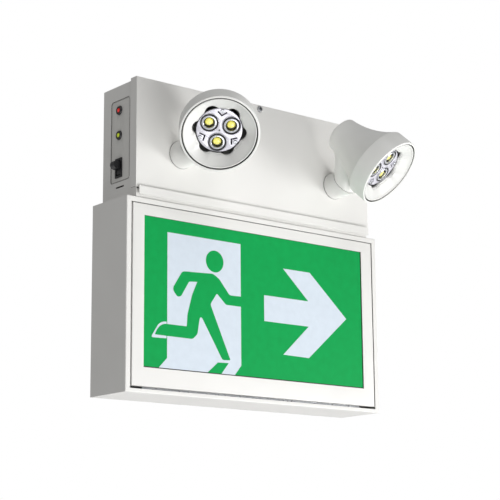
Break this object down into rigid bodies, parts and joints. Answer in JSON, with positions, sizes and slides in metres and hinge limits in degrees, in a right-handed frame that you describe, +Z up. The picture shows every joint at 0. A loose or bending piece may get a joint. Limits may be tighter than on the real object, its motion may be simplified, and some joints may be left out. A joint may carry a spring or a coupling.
{
  "type": "emergency exit light",
  "caption": "Lit exit sign housing with a battery cabinet on top and two swivelling lamp heads.",
  "frame": {"origin": "centre of the sign housing's back face, midway between its two wall-box screw holes", "axes": "+X to the right as the viewer faces the sign, +Y into the wall, +Z up; the fronts face -Y"},
  "size_m": [0.35, 0.1776, 0.3336],
  "materials": {
    "white_painted_steel": "satin",
    "printed_polycarbonate": "satin",
    "opal_acrylic": "satin",
    "circuit_board": "satin",
    "black_plastic": "satin",
    "red_lens": "gloss",
    "green_lens": "gloss",
    "white_plastic": "satin",
    "metallised_plastic": "gloss",
    "clear_acrylic": "gloss",
    "led_phosphor": "matte",
    "aluminium": "satin",
    "brass": "satin",
    "core_steel": "satin",
    "zinc_plated_steel": "satin"
  },
  "bodies": {
    "light_unit": {"ac_on_lamp": "red_lens", "battery": "black_plastic", "battery_strap": "zinc_plated_steel", "battery_terminals": "brass", "board_capacitors": "black_plastic", "board_heat_sink": "aluminium", "board_relay": "black_plastic", "board_screws": "zinc_plated_steel", "board_standoffs": "white_plastic", "cabinet_chassis": "white_painted_steel", "cabinet_cover": "white_painted_steel", "charger_board": "circuit_board", "cover_screw": "zinc_plated_steel", "cover_screw_tab": "zinc_plated_steel", "diffuser_panel": "opal_acrylic", "face_plate": "white_painted_steel", "indicator_panel": "white_plastic", "joining_bolts": "zinc_plated_steel", "joining_nuts": "zinc_plated_steel", "lamp_holders": "black_plastic", "legend_panel": "printed_polycarbonate", "lower_led_bar": "circuit_board", "lower_panel_rail": "zinc_plated_steel", "ready_lamp": "green_lens", "sign_back_plate": "white_painted_steel", "sign_housing": "white_painted_steel", "strap_screws": "zinc_plated_steel", "terminal_block": "white_plastic", "test_switch_body": "black_plastic", "transformer": "core_steel", "transformer_screws": "zinc_plated_steel", "upper_led_bar": "circuit_board", "upper_panel_rail": "zinc_plated_steel", "wire_bushing": "white_plastic"},
    "left_turret_body": {"left_pivot_nipple": "brass", "left_pivot_nut": "zinc_plated_steel", "left_turret": "white_plastic", "left_turret_nut": "white_plastic"},
    "right_turret_body": {"right_pivot_nipple": "brass", "right_pivot_nut": "zinc_plated_steel", "right_turret": "white_plastic", "right_turret_nut": "white_plastic"},
    "left_head": {"left_bezel": "white_plastic", "left_heat_sink": "aluminium", "left_lamp_housing": "white_plastic", "left_leds": "led_phosphor", "left_lenses": "clear_acrylic", "left_module_plate": "metallised_plastic", "left_module_screws": "zinc_plated_steel"},
    "right_head": {"right_bezel": "white_plastic", "right_heat_sink": "aluminium", "right_lamp_housing": "white_plastic", "right_leds": "led_phosphor", "right_lenses": "clear_acrylic", "right_module_plate": "metallised_plastic", "right_module_screws": "zinc_plated_steel"},
    "test_rocker_body": {"test_rocker": "black_plastic"}
  },
  "joints": [
    {"name": "left_swivel", "type": "hinge", "parent": "light_unit", "child": "left_turret_body", "pos_m": [-0.10635, -0.0637, 0.1551], "axis": [0, -1, 0], "range_deg": [-170, 170]},
    {"name": "left_tilt", "type": "hinge", "parent": "left_turret_body", "child": "left_head", "pos_m": [-0.10635, -0.0833, 0.1551], "axis": [0.0868, -0.866, 0.4924], "range_deg": [-90, 90]},
    {"name": "right_swivel", "type": "hinge", "parent": "light_unit", "child": "right_turret_body", "pos_m": [0.11115, -0.0637, 0.1551], "axis": [0, -1, 0], "range_deg": [-170, 170]},
    {"name": "right_tilt", "type": "hinge", "parent": "right_turret_body", "child": "right_head", "pos_m": [0.11115, -0.0833, 0.1551], "axis": [-0.0148, -0.866, 0.4998], "range_deg": [-90, 90]},
    {"name": "test_switch", "type": "hinge", "parent": "light_unit", "child": "test_rocker_body", "pos_m": [-0.1573, -0.0296, 0.1391], "axis": [0, 1, 0], "range_deg": [0, 8], "stiffness_Nm_per_rad": 0.12, "springref_deg": -8.59}
  ]
}
